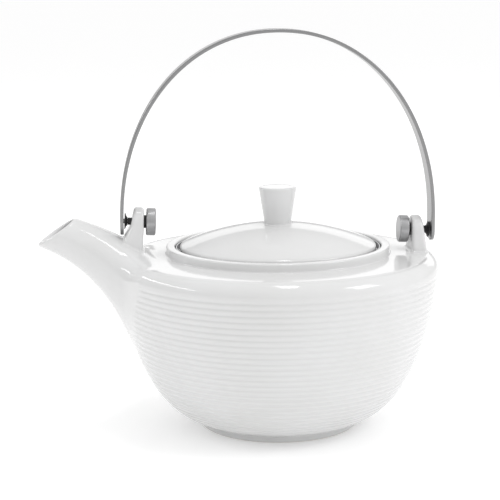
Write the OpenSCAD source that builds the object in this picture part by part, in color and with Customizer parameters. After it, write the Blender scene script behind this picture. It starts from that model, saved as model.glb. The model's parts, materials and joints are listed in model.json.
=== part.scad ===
// Ribbed porcelain teapot: a round bowl with a beak spout, a collar with a seat for a
// steel infuser basket, a recessed lid, and a flat steel bail that swings on two lugs.
// Millimetres. +Z is up, the spout points along -X, the origin is the centre of the foot.

/* [Bowl] */
// Widest radius of the bowl
belly_r = 85; // [83:0.5:86]
// Height of the widest point
belly_z = 84; // [83:0.5:85]
// Outer radius of the foot ring
foot_r = 42; // [40:0.5:43]
// Thickness of the porcelain wall
wall = 4; // [3.4:0.1:4.4]
// Number of ribs round the bowl
rib_count = 26; // [10:1:28]
// Depth of the groove between two ribs
rib_depth = 0.5; // [0.2:0.1:0.7]

/* [Spout] */
// Half width of the spout at its mouth
mouth_half_w = 10; // [9:0.5:12]
// Half width of the spout where it leaves the bowl
root_half_w = 36; // [32:1:38]
// Thickness of the spout wall
spout_wall = 3.2; // [2.8:0.1:3.4]

/* [Collar and lid] */
// Inner radius of the collar round the lid
collar_r = 54.5; // [54.3:0.1:54.8]
// Height of the collar's rim
collar_z = 96.8; // [96.4:0.1:97.4]
// Radius of the lid
lid_r = 52; // [51.5:0.1:52.4]
// Height of the dome above the lid's edge
dome_rise = 10.8; // [9:0.1:11]
// Radius of the knob's top
knob_r = 10; // [9:0.5:12]
// Height of the knob's top above the table
knob_z = 127.3; // [122:0.1:129]

/* [Infuser basket] */
// Inner radius of the basket wall
basket_r = 45.2; // [45:0.1:46]
// Height of the basket's base above the table
basket_floor_z = 26; // [22:1:40]
// Thickness of the steel sheet
sheet = 0.6; // [0.4:0.1:0.7]
// Radius of each hole
hole_r = 1.4; // [1.2:0.1:1.6]
// Holes in one row round the wall
holes_round = 24; // [12:1:30]
// Rows of holes up the wall
hole_rows = 9; // [5:1:10]

/* [Bail] */
// Height of the pivot on the spout side above the table
spout_pivot_z = 110; // [109:0.1:110.4]
// Height of the pivot on the rear side above the table
rear_pivot_z = 103.3; // [102.8:0.1:104]
// Half the span of the bail, outside to outside
bail_half_span = 83; // [82.8:0.1:84]
// Height of the top of the bail above the table
bail_top_z = 209.5; // [206:0.5:220]
// Width of the steel strip
strip_w = 13; // [10:0.5:13]
// Thickness of the steel strip
strip_t = 1.8; // [1.6:0.1:2]
// Radius of the disc nuts
disc_r = 7.2; // [6:0.1:7.6]

/* [Hidden] */

$fn = 120;
SPOUT_SIDE = -1;
REAR_SIDE = 1;
seat_gap = 0.1;

// Foot and floor
foot_h = 3.6;
foot_ring_w = 6;
foot_recess = 3.2;
floor_z = 8;

// Bowl outline from the foot up to the widest point, as one cubic curve
belly_curve = [[foot_r + 1, foot_h], [54, 7], [belly_r - 7.5, 18], [belly_r, belly_z]];
belly_steps = 60;
rib_low_z = 10.5;
rib_high_z = 82;
rib_crest = 0.3;

// Shoulder, deck and collar
deck_edge_r = belly_r - 7;
deck_edge_z = belly_z + 7.7;
deck_inner_z = 92.5;
collar_outer_r = collar_r + 4.6;
inner_corner_r = deck_edge_r - 2;
inner_corner_z = belly_z - 2;
ledge_r = 48;
ledge_z = 91.9;
rim_round = 1;

// Infuser basket
flange_z = ledge_z + seat_gap;
flange_r = collar_r - 0.5;
lip_top_z = collar_z - 1;
wall_margin = 6;
base_rings = 5;

// Lid
lid_seat_z = flange_z + sheet + seat_gap;
lid_edge_z = collar_z + 0.1;
lid_wall = 4.5;
skirt_r = basket_r - 0.7;
skirt_t = 3;
skirt_low_z = 85;
knob_neck_r = 7;
vent_r = 1.5;
vent_y = 26;

// Spout: the line of its underside, the line of its crown, and where its skin starts
under_line = [[-73.5, 34], [-83.5, 62], [-97.5, 88], [-126, 99]];
crown_line = [[-66, 92], [-77.5, 100.4], [-92, 108], [-106.5, 112.7]];
root_shift = 10;
channel_shift = 14;
spout_rings = 12;
spout_sides = 28;
taper_power = 1.6;
root_egg = 0.25;

// The pivot axis runs through both lugs, a little higher on the spout side
pivot_reach = 67;
pivot_mid_z = (spout_pivot_z + rear_pivot_z) / 2;
pivot_tilt = atan2(spout_pivot_z - rear_pivot_z, 2 * pivot_reach);

// Lugs and what passes through them, as distances from the middle of the pot along the pivot axis
lug_inner_x = 70.8;
lug_outer_x = 76.5;
lug_edge = 0.7;
lug_base_t = 9.8;
lug_half_w = 7.5;
lug_base_half_w = 11;
lug_base_z = 86;
washer_gap = 0.4;
disc_t = 5;
inner_washer_t = 1.3;
disc_inner_x = lug_inner_x - inner_washer_t - disc_t;
neck_end_x = 79.2;
screw_r = 1.25;
screw_head_r = 3;
screw_head_t = 1.4;
screw_start_x = disc_inner_x + 1;
socket_r = 1.1;
socket_depth = 0.9;
sleeve_bore_r = 1.3;
sleeve_r = 1.9;
flare_r = 4.2;
inner_washer_r = 3.4;
strip_inner_x = bail_half_span - strip_t;
screw_end_x = bail_half_span - 0.1;
arch_power = 2.1;
arch_steps = 40;

// ---- Curves ----

function cubic(p, t) =
    pow(1 - t, 3) * p[0] + 3 * t * pow(1 - t, 2) * p[1]
    + 3 * t * t * (1 - t) * p[2] + pow(t, 3) * p[3];

function cubic_slope(p, t) =
    3 * pow(1 - t, 2) * (p[1] - p[0]) + 6 * t * (1 - t) * (p[2] - p[1])
    + 3 * t * t * (p[3] - p[2]);

// Unit vector square to the curve, towards the pot's axis
function inward(p, t) =
    let (d = cubic_slope(p, t), n = norm(d)) [-d.y / n, d.x / n];

// Running length along a list of points
function lengths(p) = [
    for (i = 0, s = 0; i < len(p); s = s + (i + 1 < len(p) ? norm(p[i + 1] - p[i]) : 0), i = i + 1)
        s
];

belly_points = [for (i = [0 : belly_steps]) cubic(belly_curve, i / belly_steps)];
belly_lengths = lengths(belly_points);
height_to_length = [for (i = [0 : belly_steps]) [belly_points[i].y, belly_lengths[i]]];
length_to_t = [for (i = [0 : belly_steps]) [belly_lengths[i], i / belly_steps]];

// A point on the bowl at length s, moved inwards by depth
function belly_at(s, depth) =
    let (t = lookup(s, length_to_t)) cubic(belly_curve, t) + depth * inward(belly_curve, t);

rib_start = lookup(rib_low_z, height_to_length);
rib_pitch = (lookup(rib_high_z, height_to_length) - rib_start) / (rib_count - 1);

ribbed_belly = [
    for (k = [0 : rib_count - 1], side = [-1, 0, 1])
        belly_at(rib_start + (k + side * rib_crest) * rib_pitch, side == 0 ? rib_depth : 0)
];

shoulder_arc = [
    for (a = [0 : 15 : 90])
        [deck_edge_r + (belly_r - deck_edge_r) * cos(a), belly_z + (deck_edge_z - belly_z) * sin(a)]
];

pot_outline = concat(
    [
        [0, foot_recess], [foot_r - foot_ring_w - 1, foot_recess], [foot_r - foot_ring_w, 0],
        [foot_r - rim_round, 0], [foot_r, rim_round], [foot_r, foot_h - 0.4], belly_points[0],
        belly_at(rib_start * 0.33, 0), belly_at(rib_start * 0.66, 0)
    ],
    ribbed_belly,
    shoulder_arc,
    [
        [collar_outer_r + 0.3, deck_inner_z], [collar_outer_r, deck_inner_z + 0.7],
        [collar_outer_r, collar_z - rim_round],
        [collar_outer_r - 0.3 * rim_round, collar_z - 0.3 * rim_round],
        [collar_outer_r - rim_round, collar_z], [0, collar_z]
    ]
);

cavity_outline = concat(
    [[0, floor_z], [foot_r - 6, floor_z], [foot_r + 2, floor_z + 0.8]],
    [for (t = [0.3 : 0.1 : 0.9]) cubic(belly_curve, t) + wall * inward(belly_curve, t)],
    [
        for (a = [0 : 30 : 90])
            [
                inner_corner_r + (belly_r - wall - 0.3 - inner_corner_r) * cos(a),
                inner_corner_z + (deck_edge_z - wall - inner_corner_z) * sin(a)
            ]
    ],
    [
        [collar_outer_r, deck_inner_z - wall - 0.2], [ledge_r, ledge_z - wall],
        [ledge_r, ledge_z], [collar_r, ledge_z], [collar_r, collar_z - rim_round],
        [collar_r + 0.3 * rim_round, collar_z - 0.3 * rim_round],
        [collar_r + rim_round, collar_z], [collar_r + rim_round, collar_z + 1], [0, collar_z + 1]
    ]
);

// ---- Spout skin ----

function spout_half_w(t) =
    mouth_half_w + (root_half_w - mouth_half_w) * pow(max(0, 1 - t), taper_power);

// One egg-shaped ring between the underside and the crown, smaller all round by inset
function spout_ring(t, inset, shift) =
    let (
        low = cubic(under_line, t),
        high = cubic(crown_line, t),
        mid = (low + high) / 2,
        rise = (high - low) / 2,
        k = 1 - inset / norm(rise),
        w = spout_half_w(t) - inset,
        egg = root_egg * max(0, 1 - t)
    )
    [
        for (i = [0 : spout_sides - 1])
            let (a = 360 * i / spout_sides, c = mid + k * sin(a) * rise)
                [c.x + shift, w * cos(a) * (1 + egg * sin(a)), c.y]
    ];

// A closed skin through a list of rings that all have the same number of points
module skin(rings) {
    n = len(rings[0]);
    last = len(rings) - 1;
    polyhedron(
        points = [for (r = rings, p = r) p],
        faces = concat(
            [[for (i = [n - 1 : -1 : 0]) i]],
            [
                for (k = [0 : last - 1], i = [0 : n - 1], half = [0, 1])
                    let (j = (i + 1) % n, a = k * n, b = a + n)
                        half == 0 ? [a + i, a + j, b + i] : [a + j, b + j, b + i]
            ],
            [[for (i = [0 : n - 1]) last * n + i]]
        )
    );
}

module spout_skin() {
    skin(concat(
        [spout_ring(0, 1, root_shift)],
        [for (k = [0 : spout_rings]) spout_ring(k / spout_rings, 0, 0)]
    ));
}

module spout_channel() {
    skin(concat(
        [spout_ring(0, spout_wall + 1, channel_shift)],
        [for (k = [0 : spout_rings]) spout_ring(k / spout_rings, spout_wall, 0)],
        [spout_ring(1.08, spout_wall, 0)]
    ));
}

// ---- Shapes used on both sides of the pot ----

// A round solid along X, from x0 to x1 on the given side
module side_round(side, x0, x1, r0, r1, facets) {
    translate([side * x0, 0, 0])
        rotate([0, side * 90, 0])
            cylinder(h = x1 - x0, r1 = r0, r2 = r1, $fn = facets);
}

// A round solid on the pivot axis, from x0 to x1 on the given side
module pivot_round(side, x0, x1, r0, r1, facets = 48) {
    translate([0, 0, pivot_mid_z])
        rotate([0, pivot_tilt, 0])
            side_round(side, x0, x1, r0, r1, facets);
}

module pivot_bore(side, r) {
    pivot_round(side, disc_inner_x, bail_half_span + 1, r, r);
}

// A lug, square to the pivot axis on its inner face, sloping on its outer face, round at the top
module lug(side) {
    base_drop = (side == SPOUT_SIDE ? spout_pivot_z : rear_pivot_z) - lug_base_z + 2;
    translate([0, 0, pivot_mid_z])
        rotate([0, pivot_tilt, 0])
            hull() {
                side_round(side, lug_inner_x, lug_inner_x + 1, lug_half_w - lug_edge, lug_half_w, 32);
                side_round(side, lug_inner_x + 1, lug_outer_x, lug_half_w, lug_half_w - lug_edge, 32);
                translate([side > 0 ? lug_inner_x : -lug_inner_x - lug_base_t, -lug_base_half_w, -base_drop])
                    cube([lug_base_t, 2 * lug_base_half_w, 2]);
            }
}

module screw(side) {
    color("gainsboro")
        difference() {
            union() {
                pivot_round(side, screw_start_x, screw_end_x, screw_r, screw_r);
                pivot_round(side, screw_end_x - screw_head_t, screw_end_x, screw_r, screw_head_r);
            }
            pivot_round(side, screw_end_x - socket_depth, screw_end_x + 1, socket_r, socket_r, 6);
        }
}

module disc_nut(side) {
    edge = 0.5;
    color("silver")
        difference() {
            union() {
                pivot_round(side, disc_inner_x, disc_inner_x + edge, disc_r - edge, disc_r);
                pivot_round(side, disc_inner_x + edge, disc_inner_x + disc_t - edge, disc_r, disc_r);
                pivot_round(side, disc_inner_x + disc_t - edge, disc_inner_x + disc_t, disc_r, disc_r - edge);
            }
            pivot_round(side, screw_start_x - 0.2, disc_inner_x + disc_t + 1, screw_r, screw_r);
        }
}

module sleeve(side) {
    color("#1c1c1c")
        difference() {
            pivot_round(side, lug_inner_x, neck_end_x, sleeve_r, sleeve_r);
            pivot_bore(side, sleeve_bore_r);
        }
}

module outer_washer(side) {
    start = neck_end_x + seat_gap;
    end = strip_inner_x - washer_gap;
    cone_end = end - 0.5;
    color("#1c1c1c")
        difference() {
            union() {
                pivot_round(side, start, cone_end, sleeve_r + 0.4, flare_r);
                pivot_round(side, cone_end, end, flare_r, flare_r);
            }
            pivot_bore(side, sleeve_bore_r);
        }
}

module inner_washer(side) {
    color("#1c1c1c")
        difference() {
            pivot_round(
                side, disc_inner_x + disc_t, lug_inner_x - seat_gap, inner_washer_r, inner_washer_r
            );
            pivot_bore(side, sleeve_bore_r);
        }
}

// ---- The pieces ----

module pot_body() {
    color("white")
        difference() {
            union() {
                rotate_extrude() polygon(pot_outline);
                spout_skin();
                lug(SPOUT_SIDE);
                lug(REAR_SIDE);
            }
            rotate_extrude() polygon(cavity_outline);
            spout_channel();
            pivot_bore(SPOUT_SIDE, sleeve_r);
            pivot_bore(REAR_SIDE, sleeve_r);
        }
}

function dome_z(r) = lid_edge_z + dome_rise * (1 - pow(r / lid_r, 2));

lid_outline = concat(
    [for (r = [0 : 6 : 36]) [r, dome_z(r) - lid_wall]],
    [
        [skirt_r - skirt_t, dome_z(skirt_r - skirt_t) - lid_wall], [skirt_r - skirt_t, skirt_low_z],
        [skirt_r - 0.4, skirt_low_z], [skirt_r, skirt_low_z + 0.4], [skirt_r, lid_seat_z],
        [lid_r - 1, lid_seat_z], [lid_r, lid_seat_z + 1], [lid_r, lid_edge_z - 0.9],
        [lid_r - 0.3, lid_edge_z - 0.3]
    ],
    [for (r = [50 : -6 : 14]) [r, dome_z(r)]],
    [
        [knob_neck_r + 1.5, dome_z(knob_neck_r + 1.5)], [knob_neck_r + 0.4, dome_z(knob_neck_r) + 0.5],
        [knob_neck_r + 0.1, dome_z(knob_neck_r) + 1.5], [knob_r, knob_z - 1.2],
        [knob_r - 0.3, knob_z - 0.4], [knob_r - 1.2, knob_z], [0, knob_z]
    ]
);

module lid() {
    color("white")
        difference() {
            rotate_extrude() polygon(lid_outline);
            translate([0, vent_y, dome_z(vent_y) - lid_wall - 2])
                cylinder(h = lid_wall + 4, r = vent_r, $fn = 32);
        }
}

module infuser_rim() {
    color("darkgray")
        rotate_extrude()
            polygon([
                [basket_r, flange_z], [flange_r, flange_z], [flange_r, lip_top_z],
                [flange_r - sheet, lip_top_z], [flange_r - sheet, flange_z + sheet],
                [basket_r, flange_z + sheet]
            ]);
}

module infuser_wall() {
    low = basket_floor_z + sheet;
    row_gap = (flange_z - low - 2 * wall_margin) / (hole_rows - 1);
    color("darkgray")
        difference() {
            translate([0, 0, low])
                cylinder(h = flange_z - low, r = basket_r + sheet);
            translate([0, 0, low - 1])
                cylinder(h = flange_z - low + 2, r = basket_r);
            for (row = [0 : hole_rows - 1], k = [0 : holes_round - 1])
                translate([0, 0, low + wall_margin + row * row_gap])
                    rotate([0, 90, (k + 0.5 * (row % 2)) * 360 / holes_round])
                        translate([0, 0, basket_r - 1])
                            cylinder(h = sheet + 2, r = hole_r, $fn = 16);
        }
}

module infuser_base() {
    ring_gap = (basket_r - 4) / base_rings;
    color("darkgray")
        difference() {
            translate([0, 0, basket_floor_z])
                cylinder(h = sheet, r = basket_r + sheet);
            for (ring = [1 : base_rings], k = [0 : 6 * ring - 1])
                rotate([0, 0, k * 60 / ring])
                    translate([ring * ring_gap, 0, basket_floor_z - 1])
                        cylinder(h = sheet + 2, r = hole_r, $fn = 16);
        }
}

// From the rear pivot straight up, over the top along a superellipse, down to the spout pivot
function arch(half_span, rise) = concat(
    [[half_span, rear_pivot_z]],
    [
        for (i = [0 : arch_steps])
            let (a = 180 * i / arch_steps, c = cos(a), s = sin(a))
                [
                    sign(c) * half_span * pow(abs(c), 2 / arch_power),
                    spout_pivot_z + rise * pow(abs(s), 2 / arch_power)
                ]
    ]
);

// The round end of the strip round one pivot
module strip_end(side) {
    translate([side * strip_inner_x, 0, side == SPOUT_SIDE ? spout_pivot_z : rear_pivot_z])
        rotate([0, side * 90, 0])
            cylinder(h = strip_t, r = strip_w / 2, $fn = 96);
}

module bail_strip() {
    outside = arch(bail_half_span, bail_top_z - spout_pivot_z);
    inside = arch(strip_inner_x, bail_top_z - spout_pivot_z - strip_t);
    color("silver")
        difference() {
            union() {
                rotate([90, 0, 0])
                    translate([0, 0, -strip_w / 2])
                        linear_extrude(strip_w)
                            polygon(concat(outside, [for (i = [len(inside) - 1 : -1 : 0]) inside[i]]));
                strip_end(SPOUT_SIDE);
                strip_end(REAR_SIDE);
            }
            for (side = [SPOUT_SIDE, REAR_SIDE]) {
                pivot_bore(side, screw_r);
                pivot_round(side, screw_end_x - screw_head_t, screw_end_x, screw_r, screw_head_r);
                pivot_round(side, screw_end_x, screw_end_x + 1, screw_head_r, screw_head_r);
            }
        }
}

pot_body();
lid();
infuser_rim();
infuser_wall();
infuser_base();
bail_strip();
screw(SPOUT_SIDE);  // spout_side_screw
disc_nut(SPOUT_SIDE);  // spout_side_disc_nut
sleeve(SPOUT_SIDE);  // spout_side_sleeve
outer_washer(SPOUT_SIDE);  // spout_side_outer_washer
inner_washer(SPOUT_SIDE);  // spout_side_inner_washer
screw(REAR_SIDE);  // rear_side_screw
disc_nut(REAR_SIDE);  // rear_side_disc_nut
sleeve(REAR_SIDE);  // rear_side_sleeve
outer_washer(REAR_SIDE);  // rear_side_outer_washer
inner_washer(REAR_SIDE);  // rear_side_inner_washer
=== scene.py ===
"""A ribbed porcelain teapot with its steel infuser basket, lid and swinging bail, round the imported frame."""

import json
import math

import bmesh
import bpy
import numpy as np
from mathutils import Matrix, Vector
from mathutils.bvhtree import BVHTree
from mathutils.geometry import delaunay_2d_cdt

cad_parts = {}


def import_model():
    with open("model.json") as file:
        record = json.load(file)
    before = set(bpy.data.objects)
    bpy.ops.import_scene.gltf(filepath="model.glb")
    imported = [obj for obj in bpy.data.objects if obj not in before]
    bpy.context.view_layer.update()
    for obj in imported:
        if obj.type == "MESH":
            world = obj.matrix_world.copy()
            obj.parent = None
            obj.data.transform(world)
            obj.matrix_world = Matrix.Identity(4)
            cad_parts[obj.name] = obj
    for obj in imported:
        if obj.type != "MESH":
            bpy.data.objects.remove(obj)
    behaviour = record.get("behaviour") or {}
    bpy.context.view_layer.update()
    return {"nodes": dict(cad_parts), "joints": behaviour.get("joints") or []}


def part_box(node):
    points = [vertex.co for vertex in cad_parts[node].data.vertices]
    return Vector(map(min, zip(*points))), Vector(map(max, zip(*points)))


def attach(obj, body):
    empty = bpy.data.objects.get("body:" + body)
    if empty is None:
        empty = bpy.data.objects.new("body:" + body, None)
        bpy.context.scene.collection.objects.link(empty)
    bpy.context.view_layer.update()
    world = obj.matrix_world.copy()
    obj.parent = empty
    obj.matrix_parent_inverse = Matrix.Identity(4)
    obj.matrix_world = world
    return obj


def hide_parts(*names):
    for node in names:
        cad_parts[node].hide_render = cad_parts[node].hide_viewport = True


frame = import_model()

MM = 0.001
SPOUT_SIDE = -1
REAR_SIDE = 1
SIDE_NAMES = {SPOUT_SIDE: "spout_side", REAR_SIDE: "rear_side"}


# ---- What the frame says ----

def box_mm(node):
    """A CAD node's lowest and highest corner, in millimetres."""
    low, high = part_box(node)
    return low / MM, high / MM


swing = next(j for j in frame["joints"] if j["name"] == "bail_swing")
PIVOT = Vector(swing["pos_m"]) / MM
PIVOT_AXIS = Vector(swing["axis"]).normalized()
pot_low, pot_high = box_mm("pot_body")
lid_low, lid_high = box_mm("lid")
rim_low, rim_high = box_mm("infuser_rim")
wall_low, wall_high = box_mm("infuser_wall")
base_low, base_high = box_mm("infuser_base")
bail_high = box_mm("bail_strip")[1]

# Bowl
BELLY_R = pot_high.x
BELLY_Z = 84.0
FOOT_R = 42.0
FOOT_H = 3.6
FOOT_RING_W = 6.0
FOOT_RECESS = 3.2
FLOOR_Z = 8.0
WALL = 4.0
BELLY_CURVE = [(FOOT_R + 1, FOOT_H), (54, 7), (BELLY_R - 7.5, 18), (BELLY_R, BELLY_Z)]
DECK_OUTER = (BELLY_R - 7.5, 91.8)
DECK_INNER_Z = 92.5
SHOULDER_PULL = 4.3
BELLY_STEPS = 400
COLLAR_R = rim_high.x + 0.5
COLLAR_OUTER_R = COLLAR_R + 4.6
COLLAR_Z = rim_high.z + 1.0
LEDGE_R = 48.0
LEDGE_Z = rim_low.z - 0.1

# Ribs
RIB_COUNT = 26
RIB_DEPTH = 0.42
RIB_LOW_Z = 10.5
RIB_HIGH_Z = 82.0
RIB_PHASES = (0.0, 0.13, 0.3, 0.5, 0.7, 0.87)
RIB_SHARPNESS = 2.0
RIB_END_DEG = 0.8

# Columns of the bowl's mesh, and the hole in it that the spout grows from
COLUMNS = 192
HOLE_HALF = 7
HOLE_LOW_Z = 33.0
HOLE_TOP_R = 64.5
HOLE_LOW_DEG = 3.5
HOLE_SIDE_DEG = 29.5
HOLE_TOP_DEG = 12.0
WARP_REACH_DEG = 65.0

# Spout
UNDER_LINE = [(-73.5, 34), (-83.5, 62), (-97.5, 88), (pot_low.x - 1.1, 98.8)]
CROWN_LINE = [(-66, 92), (-77.5, 100.4), (-92, 108), (-106.5, 112.7)]
MOUTH_HALF_W = 10.0
ROOT_HALF_W = 36.0
SPOUT_WALL = 3.2
TAPER_POWER = 1.6
ROOT_EGG = 0.25
CREASE_DEG = 14.0
LIP_MEAN = 2.2
LIP_CHANGE = 1.3


# ---- Curves and outlines ----

def cubic(points, t):
    """Points on a cubic Bezier curve at the parameters t."""
    p = np.asarray(points, float)
    t = np.asarray(t, float)[..., None]
    return (1 - t) ** 3 * p[0] + 3 * t * (1 - t) ** 2 * p[1] + 3 * t * t * (1 - t) * p[2] + t ** 3 * p[3]


def running_length(points):
    """The length along a list of points, from 0."""
    steps = np.linalg.norm(np.diff(points, axis=0), axis=1)
    return np.concatenate([[0.0], np.cumsum(steps)])


def along(points, lengths, s):
    """Points at the lengths s along a list of points."""
    return np.stack([np.interp(s, lengths, points[:, k]) for k in range(points.shape[1])], 1)


def rounded(corners, steps=5):
    """An outline through corners (x, y, radius), with a curve in place of each corner that has a radius."""
    out = []
    for k, (x, y, radius) in enumerate(corners):
        here = np.array([x, y], float)
        if radius <= 0 or k in (0, len(corners) - 1):
            out.append(here)
            continue
        before = np.array(corners[k - 1][:2], float) - here
        after = np.array(corners[k + 1][:2], float) - here
        len_before, len_after = np.linalg.norm(before), np.linalg.norm(after)
        start = here + before / len_before * min(radius, 0.48 * len_before)
        end = here + after / len_after * min(radius, 0.48 * len_after)
        for t in np.linspace(0, 1, steps + 1):
            out.append((1 - t) ** 2 * start + 2 * t * (1 - t) * here + t * t * end)
    return np.array(out)


def smoothstep(x):
    """0 below 0, 1 above 1, and an even S between."""
    x = np.clip(x, 0, 1)
    return x * x * (3 - 2 * x)


# ---- Meshes ----

def mesh_object(name, vertices_mm, faces, material, sharp_deg=None, uv=None):
    """A mesh object from vertices in millimetres. uv holds one (u, v) for each corner of each face."""
    mesh = bpy.data.meshes.new(name)
    vertices = np.asarray(vertices_mm, float) * MM
    mesh.from_pydata(vertices.tolist(), [], [list(map(int, f)) for f in faces])
    if uv is not None:
        layer = mesh.uv_layers.new(name="length_and_width")
        layer.data.foreach_set("uv", np.asarray(uv, np.float32).ravel())
    tidy_mesh(mesh, sharp_deg)
    obj = bpy.data.objects.new(name, mesh)
    bpy.context.scene.collection.objects.link(obj)
    obj.data.materials.append(material)
    return obj


def tidy_mesh(mesh, sharp_deg=None):
    """Drops loose points, turns the faces outwards, shades smooth and marks edges sharper than sharp_deg."""
    bm = bmesh.new()
    bm.from_mesh(mesh)
    bmesh.ops.delete(bm, geom=[v for v in bm.verts if not v.link_faces], context="VERTS")
    bmesh.ops.recalc_face_normals(bm, faces=bm.faces)
    for face in bm.faces:
        face.smooth = True
    if sharp_deg is not None:
        limit = math.radians(sharp_deg)
        for edge in bm.edges:
            if len(edge.link_faces) == 2 and edge.calc_face_angle(0) > limit:
                edge.smooth = False
    bm.to_mesh(mesh)
    bm.free()


def weld(obj, distance_mm=0.002):
    """Merges the vertices that lie on each other."""
    bm = bmesh.new()
    bm.from_mesh(obj.data)
    bmesh.ops.remove_doubles(bm, verts=bm.verts, dist=distance_mm * MM)
    bm.to_mesh(obj.data)
    bm.free()


def cut(obj, cutters):
    """Takes the cutters' volume out of obj, and removes the cutters."""
    for cutter in cutters:
        change = obj.modifiers.new("cut", "BOOLEAN")
        change.operation = "DIFFERENCE"
        change.solver = "EXACT"
        change.object = cutter
    evaluated = obj.evaluated_get(bpy.context.evaluated_depsgraph_get())
    mesh = bpy.data.meshes.new_from_object(evaluated)
    obj.modifiers.clear()
    obj.data = mesh
    for cutter in cutters:
        bpy.data.objects.remove(cutter)


def join(name, objects):
    """One object from several, all at the origin."""
    bm = bmesh.new()
    for obj in objects:
        bm.from_mesh(obj.data)
    mesh = bpy.data.meshes.new(name)
    bm.to_mesh(mesh)
    bm.free()
    material = objects[0].data.materials[0]
    for obj in objects:
        bpy.data.objects.remove(obj)
    joined = bpy.data.objects.new(name, mesh)
    bpy.context.scene.collection.objects.link(joined)
    joined.data.materials.append(material)
    return joined


def stand_for(piece, body, node):
    """Lets a piece ride on a body, in place of a CAD node."""
    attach(piece, body)
    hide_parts(node)


def lathe(name, outline, material, columns=96, sharp_deg=None, place=None, hexagon_rows=()):
    """A solid of revolution about Z. An outline point on the axis becomes a pole.

    A closed ring of material has an outline that returns to its first point. Rows in hexagon_rows
    are six-sided, with the outline's radius as the distance to a flat. place moves the finished piece.
    """
    outline = np.asarray(outline, float)
    ring = np.allclose(outline[0], outline[-1])
    rows = outline[:-1] if ring else outline
    angles = np.arange(columns) * 2 * math.pi / columns
    lengths = running_length(outline)
    poles = [r < 1e-6 for r, _ in rows]
    vertices, starts = [], []
    for k, (r, z) in enumerate(rows):
        starts.append(len(vertices))
        if poles[k]:
            vertices.append((0, 0, z))
            continue
        radius = np.full(columns, r)
        if k in hexagon_rows:
            sixth = math.pi / 3
            radius = r / np.cos((angles % sixth) - sixth / 2)
        vertices.extend(zip(radius * np.cos(angles), radius * np.sin(angles), np.full(columns, z)))

    def at(row, column):
        return starts[row] + (0 if poles[row] else column % columns)

    faces, uv = [], []
    pairs = [(k, k + 1) for k in range(len(rows) - 1)] + ([(len(rows) - 1, 0)] if ring else [])
    for a, b in pairs:
        v0, v1 = lengths[a], lengths[a + 1]
        for j in range(columns):
            u0, u1 = j / columns, (j + 1) / columns
            corners = [at(a, j), at(a, j + 1), at(b, j + 1), at(b, j)]
            places = [(u0, v0), (u1, v0), (u1, v1), (u0, v1)]
            if poles[a] or poles[b]:
                spare = 1 if poles[a] else 2
                del corners[spare], places[spare]
            faces.append(corners)
            uv += places
    if place is not None:
        vertices = [tuple(place @ Vector(v)) for v in vertices]
    return mesh_object(name, vertices, faces, material, sharp_deg, uv)


def loft(name, rings, material, sharp_deg=None, caps=True):
    """A skin through closed rings that all have the same number of points."""
    rings = np.asarray(rings, float)
    count, points = rings.shape[:2]
    centres = rings.mean(1)
    down = running_length(centres)
    around = [running_length(np.vstack([ring, ring[:1]])) for ring in rings]
    faces, uv = [], []
    for k in range(count - 1):
        for j in range(points):
            n = (j + 1) % points
            a, b = k * points, (k + 1) * points
            faces.append((a + j, a + n, b + n, b + j))
            uv += [
                (down[k], around[k][j]), (down[k], around[k][j + 1]),
                (down[k + 1], around[k + 1][j + 1]), (down[k + 1], around[k + 1][j]),
            ]
    if caps:
        for k in (0, count - 1):
            faces.append([k * points + j for j in range(points)])
            uv += [(down[k], around[k][j]) for j in range(points)]
    return mesh_object(name, rings.reshape(-1, 3), faces, material, sharp_deg, uv)


def rounded_section(half_u, half_v, corner_u, corner_v, steps=6, inner=6):
    """A closed rectangle with elliptical corners, as (u, v) points."""
    arcs = []
    for quarter, (su, sv) in enumerate([(1, 1), (-1, 1), (-1, -1), (1, -1)]):
        centre = np.array([su * (half_u - corner_u), sv * (half_v - corner_v)])
        angles = np.linspace(quarter, quarter + 1, steps + 1) * math.pi / 2
        arcs.append([centre + (corner_u * math.cos(a), corner_v * math.sin(a)) for a in angles])
    points = []
    for arc, following in zip(arcs, arcs[1:] + arcs[:1]):
        between = np.linspace(0, 1, inner + 2)[1:-1]
        points += arc + [arc[-1] * (1 - t) + following[0] * t for t in between]
    return np.array(points)


# ---- Materials ----

def new_material(name):
    """A material, its node tree and its shader."""
    material = bpy.data.materials.new(name)
    material.use_nodes = True
    shader = material.node_tree.nodes["Principled BSDF"]
    return material, material.node_tree, shader


def link(tree, source, output, target, socket):
    tree.links.new(source.outputs[output], target.inputs[socket])


def add_noise(tree, coordinates, scale, detail=3.0, roughness=0.5):
    """A noise texture on the given coordinates: 'Object', 'UV' or a node with a Vector output."""
    noise = tree.nodes.new("ShaderNodeTexNoise")
    noise.inputs["Scale"].default_value = scale
    noise.inputs["Detail"].default_value = detail
    noise.inputs["Roughness"].default_value = roughness
    if isinstance(coordinates, str):
        source = tree.nodes.new("ShaderNodeTexCoord")
        link(tree, source, coordinates, noise, "Vector")
    else:
        link(tree, coordinates, "Vector", noise, "Vector")
    return noise


def add_range(tree, source, output, low, high, from_low=0.3, from_high=0.7):
    """Maps a value onto low to high. The default takes the middle of a texture's values."""
    node = tree.nodes.new("ShaderNodeMapRange")
    limits = {"From Min": from_low, "From Max": from_high, "To Min": low, "To Max": high}
    for socket, value in limits.items():
        node.inputs[socket].default_value = value
    link(tree, source, output, node, "Value")
    return node


def add_ramp(tree, source, output, stops):
    """Turns a texture's value into a colour between the stops."""
    node = tree.nodes.new("ShaderNodeValToRGB")
    ramp = node.color_ramp
    for k, (position, colour) in enumerate(stops):
        stop = ramp.elements[k] if k < 2 else ramp.elements.new(position)
        stop.position = position
        stop.color = (*colour, 1)
    link(tree, source, output, node, "Fac")
    return node


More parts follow.
